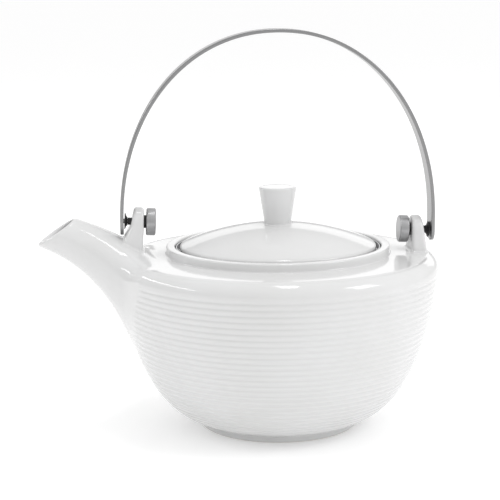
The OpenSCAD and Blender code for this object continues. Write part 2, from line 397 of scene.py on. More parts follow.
def add_bump(tree, shader, source, output, strength, distance_mm):
    node = tree.nodes.new("ShaderNodeBump")
    node.inputs["Strength"].default_value = strength
    node.inputs["Distance"].default_value = distance_mm * MM
    link(tree, source, output, node, "Height")
    link(tree, node, "Normal", shader, "Normal")
    return node


def porcelain():
    """White glazed porcelain: a clear, slightly uneven glaze, and a dry, bare foot."""
    material, tree, shader = new_material("white_glazed_porcelain")
    shader.inputs["IOR"].default_value = 1.5
    cloud = add_noise(tree, "Object", 28, 2)
    tone = add_ramp(
        tree, cloud, "Fac",
        [(0.3, (0.685, 0.685, 0.682)), (0.7, (0.715, 0.716, 0.718))],
    )
    place = tree.nodes.new("ShaderNodeTexCoord")
    split = tree.nodes.new("ShaderNodeSeparateXYZ")
    link(tree, place, "Object", split, "Vector")
    bare = add_range(tree, split, "Z", 1, 0, 0.3 * MM, 0.7 * MM)
    colour = tree.nodes.new("ShaderNodeMix")
    colour.data_type = "RGBA"
    colour.inputs["B"].default_value = (0.70, 0.685, 0.655, 1)
    link(tree, bare, "Result", colour, "Factor")
    link(tree, tone, "Color", colour, "A")
    link(tree, colour, "Result", shader, "Base Color")
    ripple = add_noise(tree, "Object", 180, 2)
    gloss = add_range(tree, ripple, "Fac", 0.05, 0.10)
    rough = tree.nodes.new("ShaderNodeMath")
    rough.operation = "MULTIPLY_ADD"
    link(tree, bare, "Result", rough, 0)
    rough.inputs[1].default_value = 0.55
    link(tree, gloss, "Result", rough, 2)
    link(tree, rough, "Value", shader, "Roughness")
    add_bump(tree, shader, ripple, "Fac", 0.05, 0.12)
    return material


def steel(name, light, dark, along_scale, across_scale, roughness, bump_mm=0.01):
    """Steel with a fine grain: long along the first UV direction, close across the second."""
    material, tree, shader = new_material(name)
    shader.inputs["Metallic"].default_value = 1.0
    place = tree.nodes.new("ShaderNodeTexCoord")
    stretch = tree.nodes.new("ShaderNodeMapping")
    stretch.inputs["Scale"].default_value = (along_scale, across_scale, 1)
    link(tree, place, "UV", stretch, "Vector")
    grain = add_noise(tree, stretch, 1, 4, 0.65)
    tone = add_ramp(tree, grain, "Fac", [(0.25, dark), (0.75, light)])
    link(tree, tone, "Color", shader, "Base Color")
    gloss = add_range(tree, grain, "Fac", roughness - 0.07, roughness + 0.07)
    link(tree, gloss, "Result", shader, "Roughness")
    add_bump(tree, shader, grain, "Fac", 0.35, bump_mm)
    return material


def clouded(name, metallic, cloud, dark, light, fine, gloss, bump):
    """A material with cloudy tones, and a finer unevenness in its gloss and its surface.

    cloud and fine are each a noise's scale and detail, gloss is a range of roughness, and bump is a
    strength and a depth in millimetres.
    """
    material, tree, shader = new_material(name)
    shader.inputs["Metallic"].default_value = metallic
    tone = add_ramp(tree, add_noise(tree, "Object", *cloud), "Fac", [(0.3, dark), (0.7, light)])
    link(tree, tone, "Color", shader, "Base Color")
    fine_noise = add_noise(tree, "Object", *fine)
    link(tree, add_range(tree, fine_noise, "Fac", *gloss), "Result", shader, "Roughness")
    add_bump(tree, shader, fine_noise, "Fac", *bump)
    return material


PORCELAIN = porcelain()
STRIP_STEEL = steel("brushed_strip_steel", (0.36, 0.36, 0.36), (0.23, 0.23, 0.235), 0.05, 9.0, 0.30)
TURNED_STEEL = steel("turned_steel", (0.47, 0.47, 0.475), (0.33, 0.33, 0.335), 1.5, 7.0, 0.34)
SHEET_STEEL = clouded(
    "satin_sheet_steel", 1.0, (60, 3), (0.50, 0.50, 0.51), (0.60, 0.60, 0.605),
    (2200, 2), (0.24, 0.36), (0.2, 0.01),
)
RUBBER = clouded(
    "black_rubber", 0.0, (1500, 3), (0.010, 0.010, 0.010), (0.022, 0.022, 0.023),
    (1500, 3), (0.38, 0.52), (0.25, 0.03),
)


# ---- The bowl and its spout ----

def deck_z(r):
    """Height of the nearly flat deck at radius r."""
    slope = (DECK_INNER_Z - DECK_OUTER[1]) / (COLLAR_OUTER_R - DECK_OUTER[0])
    return DECK_OUTER[1] + slope * (r - DECK_OUTER[0])


def bowl_outside():
    """The outside of the bowl from the foot to the collar as a dense line, and where its parts begin."""
    belly = cubic(BELLY_CURVE, np.linspace(0, 1, BELLY_STEPS))
    inner_end = (COLLAR_OUTER_R + 1.5, deck_z(COLLAR_OUTER_R + 1.5))
    towards = (DECK_OUTER[0] + SHOULDER_PULL, deck_z(DECK_OUTER[0] + SHOULDER_PULL))
    corners = [(BELLY_R, BELLY_Z), (BELLY_R, BELLY_Z + SHOULDER_PULL), towards, DECK_OUTER]
    shoulder = cubic(corners, np.linspace(0, 1, 60))
    deck = np.linspace(DECK_OUTER, inner_end, 60)
    return np.vstack([belly, shoulder[1:], deck[1:]])


OUTSIDE = bowl_outside()
OUTSIDE_LENGTHS = running_length(OUTSIDE)
DIRECTION = np.gradient(OUTSIDE, OUTSIDE_LENGTHS, axis=0)
OUTWARD = np.stack([DIRECTION[:, 1], -DIRECTION[:, 0]], 1)


def length_at_z(z):
    """Length up the outside at which the belly reaches height z."""
    return np.interp(z, OUTSIDE[:BELLY_STEPS, 1], OUTSIDE_LENGTHS[:BELLY_STEPS])


def hole_edge_deg(r, z):
    """Half the angle of the smooth area under the spout, at a point of the bowl's outline."""
    side = HOLE_LOW_DEG + (HOLE_SIDE_DEG - HOLE_LOW_DEG) * (z - HOLE_LOW_Z) / (BELLY_Z - HOLE_LOW_Z)
    on_deck = (DECK_OUTER[0] - r) / (DECK_OUTER[0] - HOLE_TOP_R)
    top = HOLE_TOP_DEG + (HOLE_SIDE_DEG - HOLE_TOP_DEG) * (1 - np.clip(on_deck, 0, 1) ** 2)
    return np.where(np.asarray(z) < BELLY_Z, np.clip(side, HOLE_LOW_DEG, HOLE_SIDE_DEG), top)


def outside_rows():
    """Lengths of the mesh rows up the outside, and each row's rib groove depth from 0 to 1."""
    first = length_at_z(RIB_LOW_Z)
    pitch = (length_at_z(RIB_HIGH_Z) - first) / (RIB_COUNT - 1)
    lengths = list(np.linspace(0, first - 0.55 * pitch, 5))
    grooves = [0.0] * len(lengths)
    for k in range(RIB_COUNT):
        for phase in RIB_PHASES[3:] + RIB_PHASES[:3]:
            shift = phase - 1 if phase >= 0.5 else phase
            lengths.append(first + (k + shift) * pitch)
            grooves.append((0.5 + 0.5 * math.cos(2 * math.pi * phase)) ** RIB_SHARPNESS)
    above = slice(BELLY_STEPS - 1, None)
    belly_end = OUTSIDE_LENGTHS[BELLY_STEPS - 1]
    deck_start = np.interp(-DECK_OUTER[0], -OUTSIDE[above, 0], OUTSIDE_LENGTHS[above])
    top = np.interp(-HOLE_TOP_R, -OUTSIDE[above, 0], OUTSIDE_LENGTHS[above])
    lengths += list(np.linspace(first + (RIB_COUNT - 0.5) * pitch, belly_end, 3)[:-1])
    lengths += list(np.linspace(belly_end, deck_start, 12)[:-1])
    lengths += list(np.linspace(deck_start, top, 13)[:-1])
    lengths += list(np.linspace(top, OUTSIDE_LENGTHS[-1], 4))
    grooves += [0.0] * (len(lengths) - len(grooves))
    return np.array(lengths), np.array(grooves), top


def inside_outline():
    """The inside of the bowl from under the deck down to the floor, as a dense line."""
    t = np.linspace(0.97, 0.22, 160)
    belly = cubic(BELLY_CURVE, t)
    slope = np.gradient(belly, t, axis=0)
    slope /= np.linalg.norm(slope, axis=1)[:, None]
    belly = belly + WALL * np.stack([-slope[:, 1], slope[:, 0]], 1)
    corner_z = deck_z(belly[0, 0]) - WALL
    under = [
        (LEDGE_R, LEDGE_Z - WALL, 0), (COLLAR_OUTER_R, DECK_INNER_Z - WALL - 0.2, 4),
        (belly[0, 0] - 1, corner_z, 5), (*belly[0], 0),
    ]
    floor = [(*belly[-1], 0), (FOOT_R + 4, FLOOR_Z + 0.4, 5), (FOOT_R - 8, FLOOR_Z, 0)]
    return np.vstack([rounded(under, 12), belly[1:-1], rounded(floor, 8)])


def spout_ring(t, inset, angles):
    """Points of the spout's egg-shaped section at t, moved in by inset, as an array (points, 3)."""
    t = np.broadcast_to(np.asarray(t, float), angles.shape)
    low, high = cubic(UNDER_LINE, t), cubic(CROWN_LINE, t)
    middle, rise = (low + high) / 2, (high - low) / 2
    shrink = 1 - inset / np.linalg.norm(rise, axis=1)
    left = np.clip(1 - t, 0, 1)
    half_w = MOUTH_HALF_W + (ROOT_HALF_W - MOUTH_HALF_W) * left ** TAPER_POWER - inset
    egg = 1 + ROOT_EGG * left * np.sin(angles)
    upright = middle + (shrink * np.sin(angles))[:, None] * rise
    return np.stack([upright[:, 0], half_w * np.cos(angles) * egg, upright[:, 1]], 1)


def loop_angles(loop, crease):
    """The section angle that each point of the hole's edge leads to, from the underside to the crown."""
    half = len(loop) // 2
    lengths = running_length(loop[:half + 1])
    level = math.radians(CREASE_DEG)
    low = -math.pi / 2 + (math.pi / 2 + level) * lengths / lengths[crease]
    high = level + (math.pi / 2 - level) * (lengths - lengths[crease]) / (lengths[-1] - lengths[crease])
    angles = np.where(np.arange(half + 1) <= crease, low, high)
    for _ in range(30):
        angles[1:-1] = (angles[:-2] + 2 * angles[1:-1] + angles[2:]) / 4
    return np.concatenate([angles, math.pi - angles[-2:0:-1]])


def hermite_rings(start, start_normals, angles, inset, reach, steps):
    """Rings that leave the bowl along its own surface and run into the spout's section at reach."""
    end = spout_ring(reach, inset, angles)
    step = 0.01
    end_slope = (spout_ring(reach + step, inset, angles) - end) / step * reach[:, None]
    chord = end - start
    flat = chord - (chord * start_normals).sum(1)[:, None] * start_normals
    flat /= np.linalg.norm(flat, axis=1)[:, None]
    pull = 0.75 - 0.25 * np.sin(angles)
    start_slope = flat * (np.linalg.norm(chord, axis=1) * pull)[:, None]
    rings = []
    for u in np.linspace(0, 1, steps + 1)[1:]:
        rings.append(
            (2 * u ** 3 - 3 * u ** 2 + 1) * start + (u ** 3 - 2 * u ** 2 + u) * start_slope
            + (3 * u ** 2 - 2 * u ** 3) * end + (u ** 3 - u ** 2) * end_slope
        )
    return rings


def warped_angles(edge_deg):
    """Angles of the columns in a row whose hole edge is at edge_deg from the spout's direction."""
    step = 360 / COLUMNS
    index = np.arange(COLUMNS) - COLUMNS // 2
    plain = np.abs(index) * step
    regular = HOLE_HALF * step
    fade = np.clip(1 - (plain - regular) / WARP_REACH_DEG, 0, 1) ** 2
    outside = plain + (edge_deg - regular) * fade
    inside = edge_deg * np.abs(index) / HOLE_HALF
    return np.radians(np.where(np.abs(index) <= HOLE_HALF, inside, outside) * np.sign(index))


def bowl():
    """The bowl with its spout: one closed skin, outside, over the rim, inside, and out through the spout."""
    lengths, grooves, top = outside_rows()
    outside = along(OUTSIDE, OUTSIDE_LENGTHS, lengths)
    outward = along(OUTWARD, OUTSIDE_LENGTHS, lengths)
    outward /= np.linalg.norm(outward, axis=1)[:, None]
    foot = rounded([
        (0, FOOT_RECESS, 0), (FOOT_R - FOOT_RING_W - 1, FOOT_RECESS, 1), (FOOT_R - FOOT_RING_W, 0, 0.5),
        (FOOT_R, 0, 1), (FOOT_R, FOOT_H - 0.2, 0.5), (*BELLY_CURVE[0], 0),
    ], 3)[:-1]
    foot = np.vstack([foot[:1], [(12, FOOT_RECESS), (24, FOOT_RECESS)], foot[1:]])
    collar = rounded([
        (*OUTSIDE[-1], 0), (COLLAR_OUTER_R, deck_z(COLLAR_OUTER_R), 1.6), (COLLAR_OUTER_R, COLLAR_Z, 1.1),
        (COLLAR_R, COLLAR_Z, 1.1), (COLLAR_R, LEDGE_Z, 0.4), (LEDGE_R, LEDGE_Z, 0.8),
        (LEDGE_R, LEDGE_Z - WALL, 0.8), (LEDGE_R + 4, LEDGE_Z - WALL, 0),
    ], 5)[1:-1]
    inside_line = inside_outline()
    inside_lengths = running_length(inside_line)
    hole_low = int(np.argmin(np.abs(outside[:, 1] - HOLE_LOW_Z) + 99 * (grooves > 0.01)))
    hole_high = int(np.argmin(np.abs(lengths - top)))
    hole_rows = hole_high - hole_low
    under_deck = slice(0, 40)
    inner_start = np.interp(HOLE_TOP_R + 1.5, inside_line[under_deck, 0], inside_lengths[under_deck])
    low_rows = np.where(inside_line[:, 1] > HOLE_LOW_Z + 3)[0]
    inner_stop = inside_lengths[low_rows[-1]]
    inner_lengths = np.concatenate([
        np.linspace(2.0, inner_start, 5)[:-1],
        np.linspace(inner_start, inner_stop, hole_rows + 1),
        np.linspace(inner_stop, inside_lengths[-1], 14)[1:],
    ])
    inside = along(inside_line, inside_lengths, inner_lengths)
    inner_slope = np.gradient(inside, inner_lengths, axis=0)
    floor = np.array([(24, FLOOR_Z), (12, FLOOR_Z), (0, FLOOR_Z)])

    profile = np.vstack([foot, outside, collar, inside, floor])
    first_outside = len(foot)
    first_inside = first_outside + len(outside) + len(collar)
    out_low, out_high = first_outside + hole_low, first_outside + hole_high
    in_high = first_inside + 4
    in_low = in_high + hole_rows

    edge = np.full(len(profile), HOLE_HALF * 360 / COLUMNS)
    outside_edge = hole_edge_deg(outside[:, 0], outside[:, 1])
    edge[first_outside:first_outside + len(outside)] = outside_edge
    down = np.arange(hole_low) / hole_low
    edge[first_outside:out_low] += (edge[0] - outside_edge[0]) * (1 - smoothstep(down * 1.5))
    rows_above = np.arange(len(collar))
    edge[first_outside + len(outside):first_inside] = (
        edge[0] + (HOLE_TOP_DEG - edge[0]) * (1 - smoothstep(rows_above / len(collar)))
    )
    inner_edge = hole_edge_deg(inside[:, 0] + 2, inside[:, 1] + 3)
    inner_edge = np.where(inside[:, 1] > BELLY_Z - 5, np.minimum(inner_edge, HOLE_SIDE_DEG - 2), inner_edge)
    for _ in range(8):
        inner_edge[1:-1] = (inner_edge[:-2] + 2 * inner_edge[1:-1] + inner_edge[2:]) / 4
    edge[first_inside:first_inside + len(inside)] = inner_edge

    grid = []
    for k, (r, z) in enumerate(profile):
        theta = warped_angles(edge[k])
        radius, height = np.full(COLUMNS, r), np.full(COLUMNS, z)
        row = k - first_outside
        if 0 <= row < len(outside) and grooves[row] > 0:
            present = 1.0
            if row >= hole_low:
                present = smoothstep((np.degrees(np.abs(theta)) - edge[k]) / RIB_END_DEG)
            depth = RIB_DEPTH * grooves[row] * present
            radius = radius - depth * outward[row, 0]
            height = height - depth * outward[row, 1]
        grid.append(np.stack([-radius * np.cos(theta), radius * np.sin(theta), height], 1))
    grid = np.array(grid)

    vertices = [grid[0, 0] * (0, 0, 1)]
    vertices += list(grid[1:-1].reshape(-1, 3))
    vertices.append(grid[-1, 0] * (0, 0, 1))
    last = len(vertices) - 1
    centre = COLUMNS // 2

    def at(row, column):
        if row == 0:
            return 0
        if row == len(profile) - 1:
            return last
        return 1 + (row - 1) * COLUMNS + column % COLUMNS

    faces = []
    for k in range(len(profile) - 1):
        in_hole = out_low <= k < out_high or in_high <= k < in_low
        for j in range(COLUMNS):
            if in_hole and centre - HOLE_HALF <= j < centre + HOLE_HALF:
                continue
            corners = [at(k, j), at(k, j + 1), at(k + 1, j + 1), at(k + 1, j)]
            faces.append(list(dict.fromkeys(corners)))

    def hole_loop(low, high):
        """The hole's edge from the middle of its lowest row, up the far side, over the top and back."""
        towards = 1 if high > low else -1
        loop = [at(low, centre + c) for c in range(HOLE_HALF)]
        loop += [at(row, centre + HOLE_HALF) for row in range(low, high, towards)]
        loop += [at(high, centre + c) for c in range(HOLE_HALF, -HOLE_HALF, -1)]
        loop += [at(row, centre - HOLE_HALF) for row in range(high, low, -towards)]
        loop += [at(low, centre + c) for c in range(-HOLE_HALF, 0)]
        return loop

    def loop_normals(low, high, slopes, first):
        """The profile's normal, turned to each point of the hole's edge."""
        normals = []
        for index in hole_loop(low, high):
            row = (index - 1) // COLUMNS + 1
            point = vertices[index]
            r = math.hypot(point[0], point[1])
            n_r, n_z = slopes[row - first]
            normals.append((n_r * point[0] / r, n_r * point[1] / r, n_z))
        normals = np.array(normals)
        return normals / np.linalg.norm(normals, axis=1)[:, None]

    outer_loop = hole_loop(out_low, out_high)
    inner_loop = hole_loop(in_low, in_high)
    outer_points = np.array([vertices[k] for k in outer_loop])
    inner_points = np.array([vertices[k] for k in inner_loop])
    half = len(outer_loop) // 2
    off_shoulder = np.abs(outer_points[:half, 2] - (BELLY_Z + 5))
    outer_crease = int(np.argmin(off_shoulder + 99 * (outer_points[:half, 0] > -60)))
    inner_crease = int(np.argmax(np.hypot(inner_points[:half, 0], inner_points[:half, 1])))
    outer_angles = loop_angles(outer_points, outer_crease)
    inner_angles = loop_angles(inner_points, inner_crease)

    outer_normals = loop_normals(out_low, out_high, outward, first_outside)
    inner_outward = np.stack([-inner_slope[:, 1], inner_slope[:, 0]], 1)
    inner_normals = loop_normals(in_low, in_high, inner_outward, first_inside)
    outer_reach = 0.45 - 0.05 * np.sin(outer_angles)
    inner_reach = 0.45 - 0.05 * np.sin(inner_angles)
    rings = hermite_rings(outer_points, outer_normals, outer_angles, 0.0, outer_reach, 18)

    wall = SPOUT_WALL * (1.0 - 0.45 * np.sin(outer_angles))
    pace = np.linalg.norm(spout_ring(1.0, 0, outer_angles) - spout_ring(0.99, 0, outer_angles), axis=1) / 0.01
    lip = (LIP_MEAN - LIP_CHANGE * np.sin(outer_angles)) / pace
    for u in np.linspace(0, 1, 25)[1:]:
        rings.append(spout_ring(outer_reach + (1 - lip - outer_reach) * u, 0.0, outer_angles))
    for a in np.radians(np.arange(15, 91, 15)):
        rings.append(spout_ring(1 - lip * (1 - math.sin(a)), wall / 2 * (1 - math.cos(a)), outer_angles))
    for a in np.radians(np.arange(75, -1, -15)):
        rings.append(spout_ring(1 - lip * (1 - math.sin(a)), wall / 2 * (1 + math.cos(a)), outer_angles))
    for u in np.linspace(1, 0, 15)[1:]:
        mixed = outer_angles * u + inner_angles * (1 - u)
        inner_wall = wall * u + SPOUT_WALL * (1 - u)
        rings.append(spout_ring(inner_reach + (1 - lip - inner_reach) * u, inner_wall, mixed))
    inner_rings = hermite_rings(inner_points, inner_normals, inner_angles, SPOUT_WALL, inner_reach, 10)
    rings += inner_rings[-2::-1]

    def bridge(one, other):
        """Faces between two closed rings of vertices."""
        turned, other_turned = one[1:] + one[:1], other[1:] + other[:1]
        faces.extend(zip(one, turned, other_turned, other))

    previous = outer_loop
    for ring in rings:
        current = list(range(len(vertices), len(vertices) + len(ring)))
        vertices += list(ring)
        bridge(previous, current)
        previous = current
    bridge(previous, inner_loop)
    return mesh_object("bowl_skin", vertices, faces, PORCELAIN)


# ---- Lugs ----

LUG_INNER = 70.8
LUG_TOP_T = 5.2
LUG_BASE_T = 9.8
LUG_HALF_W = 7.5
LUG_BASE_HALF_W = 11.0
LUG_H = 25.0
LUG_FOOT_W = {SPOUT_SIDE: -16.5, REAR_SIDE: -10.0}
LUG_EDGE = 1.5
LUG_FILLET = 1.6
LUG_SINK = 1.5


def pivot_place(side):
    """Turns a piece made round Z, so that its Z runs outwards along the pivot axis on one side."""
    turn = Vector((0, 0, 1)).rotation_difference(side * PIVOT_AXIS).to_matrix().to_4x4()
    return Matrix.Translation(PIVOT) @ turn


def pivot_reach(node, side):
    """Where a CAD node starts and ends along the pivot axis, and its largest radius round it, in mm."""
    points = [v.co / MM - PIVOT for v in frame["nodes"][node].data.vertices]
    along_axis = [side * PIVOT_AXIS.dot(p) for p in points]
    radius = max((p - PIVOT_AXIS * PIVOT_AXIS.dot(p)).length for p in points)
    return min(along_axis), max(along_axis), radius


def lug(side, host):
    """A lug that flows onto the host surface: round at the top, its inner face square to the pivot axis."""
    axis = side * PIVOT_AXIS
    across = Vector((0, 1, 0))
    up = Vector((-PIVOT_AXIS.z, 0, PIVOT_AXIS.x))
    tree = BVHTree.FromObject(host, bpy.context.evaluated_depsgraph_get())

    def world(u, v, w):
        return PIVOT + axis * u + across * v + up * w

    def surface_z(point):
        start = Vector((point.x, point.y, PIVOT.z + 12)) * MM
        hit = tree.ray_cast(start, Vector((0, 0, -1)))[0]
        return hit.z / MM

    def section(w, half_v, corner_v, drop):
        thick = LUG_TOP_T + (LUG_BASE_T - LUG_TOP_T) * (LUG_HALF_W - w) / LUG_H
        corner_u = LUG_EDGE - drop
        ring = rounded_section(thick / 2 - drop, half_v, corner_u, corner_v, 6, 5)
        return [(LUG_INNER + thick / 2 + u, v) for u, v in ring]

    rings = []
    for psi in np.radians([88, 84, 79, 73, 66, 58, 49, 39, 28, 15, 0]):
        w = LUG_HALF_W * math.sin(psi)
        half_v = LUG_HALF_W * math.cos(psi)
        rim = LUG_HALF_W - LUG_EDGE
        flat_v = math.sqrt(max(0.0, rim ** 2 - w ** 2))
        over = max(0.0, w - rim)
        drop = LUG_EDGE - math.sqrt(LUG_EDGE ** 2 - over ** 2)
        ring = section(w, half_v, half_v - flat_v if flat_v else half_v * 0.98, min(drop, LUG_EDGE * 0.9))
        rings.append([world(u, v, w) for u, v in ring])
    waist = rings[-1]

    low_w = LUG_FOOT_W[side]
    base_ring = section(low_w, LUG_BASE_HALF_W - 1.0, 3.0, 0.0)
    base = []
    for u, v in base_ring:
        point = world(u, v, low_w)
        base.append(Vector((point.x, point.y, surface_z(point) + LUG_FILLET)))
    for q in np.linspace(0, 1, 13)[1:]:
        spread = q ** 1.3
        ring = []
        for top, bottom in zip(waist, base):
            ring.append(Vector((
                top.x + (bottom.x - top.x) * spread,
                top.y + (bottom.y - top.y) * spread,
                top.z + (bottom.z - top.z) * q,
            )))
        rings.append(ring)
    middle = sum(base, Vector()) / len(base)
    count = len(base)
    skirt = [[] for _ in range(9)]
    for k in range(count):
        tangent = base[(k + 1) % count] - base[k - 1]
        out = Vector((tangent.y, -tangent.x, 0)).normalized()
        if out.dot(base[k] - middle) < 0:
            out = -out
        for row, a in enumerate(np.radians(np.linspace(11, 90, 8))):
            spot = base[k] + out * LUG_FILLET * (1 - math.cos(a))
            rise = LUG_FILLET * (1 - math.sin(a))
            skirt[row].append(Vector((spot.x, spot.y, surface_z(spot) + rise - 0.03)))
        skirt[8].append(skirt[7][-1] - Vector((0, 0, LUG_SINK)))
    rings += skirt
    piece = loft(f"lug_{side}", [[tuple(p) for p in ring] for ring in rings], PORCELAIN)
    bore = pivot_reach(f"{SIDE_NAMES[side]}_sleeve", side)[2] + 0.02
    drill = lathe(
        "drill", [(0, LUG_INNER - 3), (bore, LUG_INNER - 3), (bore, LUG_INNER + 15), (0, LUG_INNER + 15)],
        PORCELAIN, 48, None, pivot_place(side),
    )
    cut(piece, [drill])
    tidy_mesh(piece.data, 50)
    return piece


def pot():
    """The pot: the bowl with its spout, and the two lugs."""
    skin = bowl()
    lugs = [lug(side, skin) for side in (SPOUT_SIDE, REAR_SIDE)]
    piece = join("porcelain_pot", [skin] + lugs)
    stand_for(piece, "pot", "pot_body")


# ---- Lid ----

VENT_R = 1.5
VENT_Y = 26.0


def lid():
    """The lid: a low dome with a rounded edge, a skirt that centres it, a flared knob and a vent."""
    lid_r, knob_z = lid_high.x, lid_high.z
    edge_z = COLLAR_Z + 0.1
    seat_z = rim_low.z + 0.7
    skirt_r = wall_high.x - 1.3
    rise = 10.8
    knob_r, neck_r = 10.0, 7.0
    thick = 4.5

    def dome(r):
        return edge_z + rise * (1 - (r / lid_r) ** 2)

    under = [(r, dome(r) - thick) for r in np.linspace(0, skirt_r - 4.5, 9)]
    skirt = rounded([
        (*under[-1], 0), (skirt_r - 3, dome(skirt_r - 3) - thick, 1.2), (skirt_r - 3, lid_low.z, 1.4),
        (skirt_r, lid_low.z, 1.4), (skirt_r, seat_z, 0.6), (lid_r - 0.2, seat_z, 1.2),
        (lid_r, edge_z - 0.2, 1.5), (lid_r - 2.5, dome(lid_r - 2.5), 0),
    ], 5)[1:]
    top = [(r, dome(r)) for r in np.linspace(lid_r - 3.5, neck_r + 2.5, 26)]
    knob = rounded([
        (*top[-1], 0), (neck_r, dome(neck_r), 1.1), (knob_r, knob_z, 1.1), (0, knob_z, 0),
    ], 6)[1:]
    cap = [(r, knob_z) for r in (6, 3)]
    outline = np.vstack([under, skirt, top, knob[:-1], cap, knob[-1:]])
    piece = lathe("porcelain_lid", outline, PORCELAIN, 160)
    low, high = dome(VENT_Y) - thick - 3, dome(VENT_Y) + 3
    place = Matrix.Translation((0, VENT_Y, 0))
    drill = lathe("drill", [(0, low), (VENT_R, low), (VENT_R, high), (0, high)], PORCELAIN, 32, None, place)
    cut(piece, [drill])
    tidy_mesh(piece.data, 60)
    stand_for(piece, "lid", "lid")


# ---- Infuser basket ----

SHEET = 0.6
HOLES_ROUND = 96
HOLE_ROWS = 20
FINE_HOLE_R = 0.75
PLAIN_BAND = 4.0
BASE_PITCH = 3.2


def basket_rim():
    """The rim: a flange that rests on the pot's ledge, with an upstand and a rolled top edge."""
    inner_r = wall_low.x * -1 - SHEET
    flange_z, lip_z, flange_r = rim_low.z, rim_high.z, rim_high.x
    outline = rounded([
        (inner_r, flange_z, 0), (flange_r, flange_z, 0.9), (flange_r, lip_z, 0.28),
        (flange_r - SHEET, lip_z, 0.28), (flange_r - SHEET, flange_z + SHEET, 0.5),
        (inner_r, flange_z + SHEET, 0), (inner_r, flange_z, 0),
    ], 4)
    piece = lathe("basket_rim", outline, SHEET_STEEL, 160, 40)
    stand_for(piece, "infuser", "infuser_rim")


def basket_wall():
    """The wall: a thin tube with a fine grid of round holes between two plain bands."""
    outer_r = wall_high.x
    low, high = wall_low.z, wall_high.z
    columns = np.linspace(0, 2 * math.pi, HOLES_ROUND + 1)
    rows = np.linspace(low + PLAIN_BAND, high - PLAIN_BAND, HOLE_ROWS + 1)
    half_angle = math.pi / HOLES_ROUND
    half_height = (rows[1] - rows[0]) / 2
    square = [(1, 0), (1, 1), (0, 1), (-1, 1), (-1, 0), (-1, -1), (0, -1), (1, -1)]
    vertices, faces = [], []

    def add(angle, z, radius):
        vertices.append((radius * math.cos(angle), radius * math.sin(angle), z))
        return len(vertices) - 1

    def cell(angle, z, half_z, hole_r):
        rings = []
        for radius in (outer_r, outer_r - SHEET):
            edge = [add(angle + a * half_angle, z + b * half_z, radius) for a, b in square]
            hole = []
            for a in np.arange(8) * math.pi / 4:
                hole.append(add(angle + hole_r * math.cos(a) / radius, z + hole_r * math.sin(a), radius))
            rings.append((edge, hole))
        for edge, hole in rings:
            faces.extend((edge[k], edge[(k + 1) % 8], hole[(k + 1) % 8], hole[k]) for k in range(8))
        outer, inner = rings[0][1], rings[1][1]
        faces.extend((outer[k], outer[(k + 1) % 8], inner[(k + 1) % 8], inner[k]) for k in range(8))

    def band(angle, z0, z1, closed_z):
        """A plain stretch above or below the holes, with its outer edge closed at closed_z."""
        turns = (angle - half_angle, angle, angle + half_angle)
        for a0, a1 in zip(turns, turns[1:]):
            for radius in (outer_r, outer_r - SHEET):
                corners = ((a0, z0), (a1, z0), (a1, z1), (a0, z1))
                faces.append(tuple(add(a, z, radius) for a, z in corners))
            faces.append((
                add(a0, closed_z, outer_r), add(a1, closed_z, outer_r),
                add(a1, closed_z, outer_r - SHEET), add(a0, closed_z, outer_r - SHEET),
            ))

    for angle in columns[:-1]:
        for z in (rows[:-1] + rows[1:]) / 2:
            cell(angle, z, half_height, FINE_HOLE_R)
        band(angle, low, rows[0], low)
        band(angle, rows[-1], high, high)
    piece = mesh_object("basket_wall", vertices, faces, SHEET_STEEL)
    weld(piece)
    tidy_mesh(piece.data, 40)
    stand_for(piece, "infuser", "infuser_wall")


def basket_base():
    """The base: a flat disc with holes on a hexagonal grid, and a plain edge."""
    outer_r = base_high.x
    z0, z1 = base_low.z, base_high.z
    limit = outer_r - 4.5
    centres = []
    span = int(limit / BASE_PITCH) + 2
    for row in range(-span, span + 1):
        for column in range(-span, span + 1):
            x = (column + 0.5 * (row % 2)) * BASE_PITCH
            y = row * BASE_PITCH * math.sqrt(3) / 2
            if math.hypot(x, y) < limit:
                centres.append((x, y))
    loops = [[(outer_r * math.cos(a), outer_r * math.sin(a)) for a in np.arange(128) * 2 * math.pi / 128]]
    for x, y in centres:
        loops.append([
            (x + FINE_HOLE_R * math.cos(a), y + FINE_HOLE_R * math.sin(a)) for a in np.arange(8) * math.pi / 4
        ])
    points, edges = [], []
    for loop in loops:
        start = len(points)
        points += [Vector(p) for p in loop]
        edges += [(start + k, start + (k + 1) % len(loop)) for k in range(len(loop))]
    flat, _, triangles, *_ = delaunay_2d_cdt(points, edges, [], 0, 1e-6)
    middles = np.array([sum((flat[k] for k in t), Vector((0, 0))) / 3 for t in triangles])
    gaps = np.linalg.norm(middles[:, None] - np.array(centres)[None], axis=2).min(1)
    kept = [t for t, gap in zip(triangles, gaps) if gap > FINE_HOLE_R * 0.9]
    n = len(flat)
    vertices = [(p.x, p.y, z1) for p in flat] + [(p.x, p.y, z0) for p in flat]
    faces = [tuple(t) for t in kept] + [tuple(k + n for k in reversed(t)) for t in kept]
    faces += [(a, b, b + n, a + n) for a, b in edges]
    piece = mesh_object("basket_base", vertices, faces, SHEET_STEEL, 30)
    stand_for(piece, "infuser", "infuser_base")


# ---- Bail and its pivots ----

ARCH_POWER = 2.1
STRIP_T = 1.8
STRIP_EDGE = 0.35
SCREW_BORE = 1.3
SCREW_HEAD_T = 1.4
SHANK_R = 1.25
SOCKET_R = 1.1
SOCKET_DEPTH = 0.9


def disc_centre(side):
    """The middle of a disc nut, which is on the pivot axis."""
    low, high = box_mm(f"{SIDE_NAMES[side]}_disc_nut")
    return (low + high) / 2


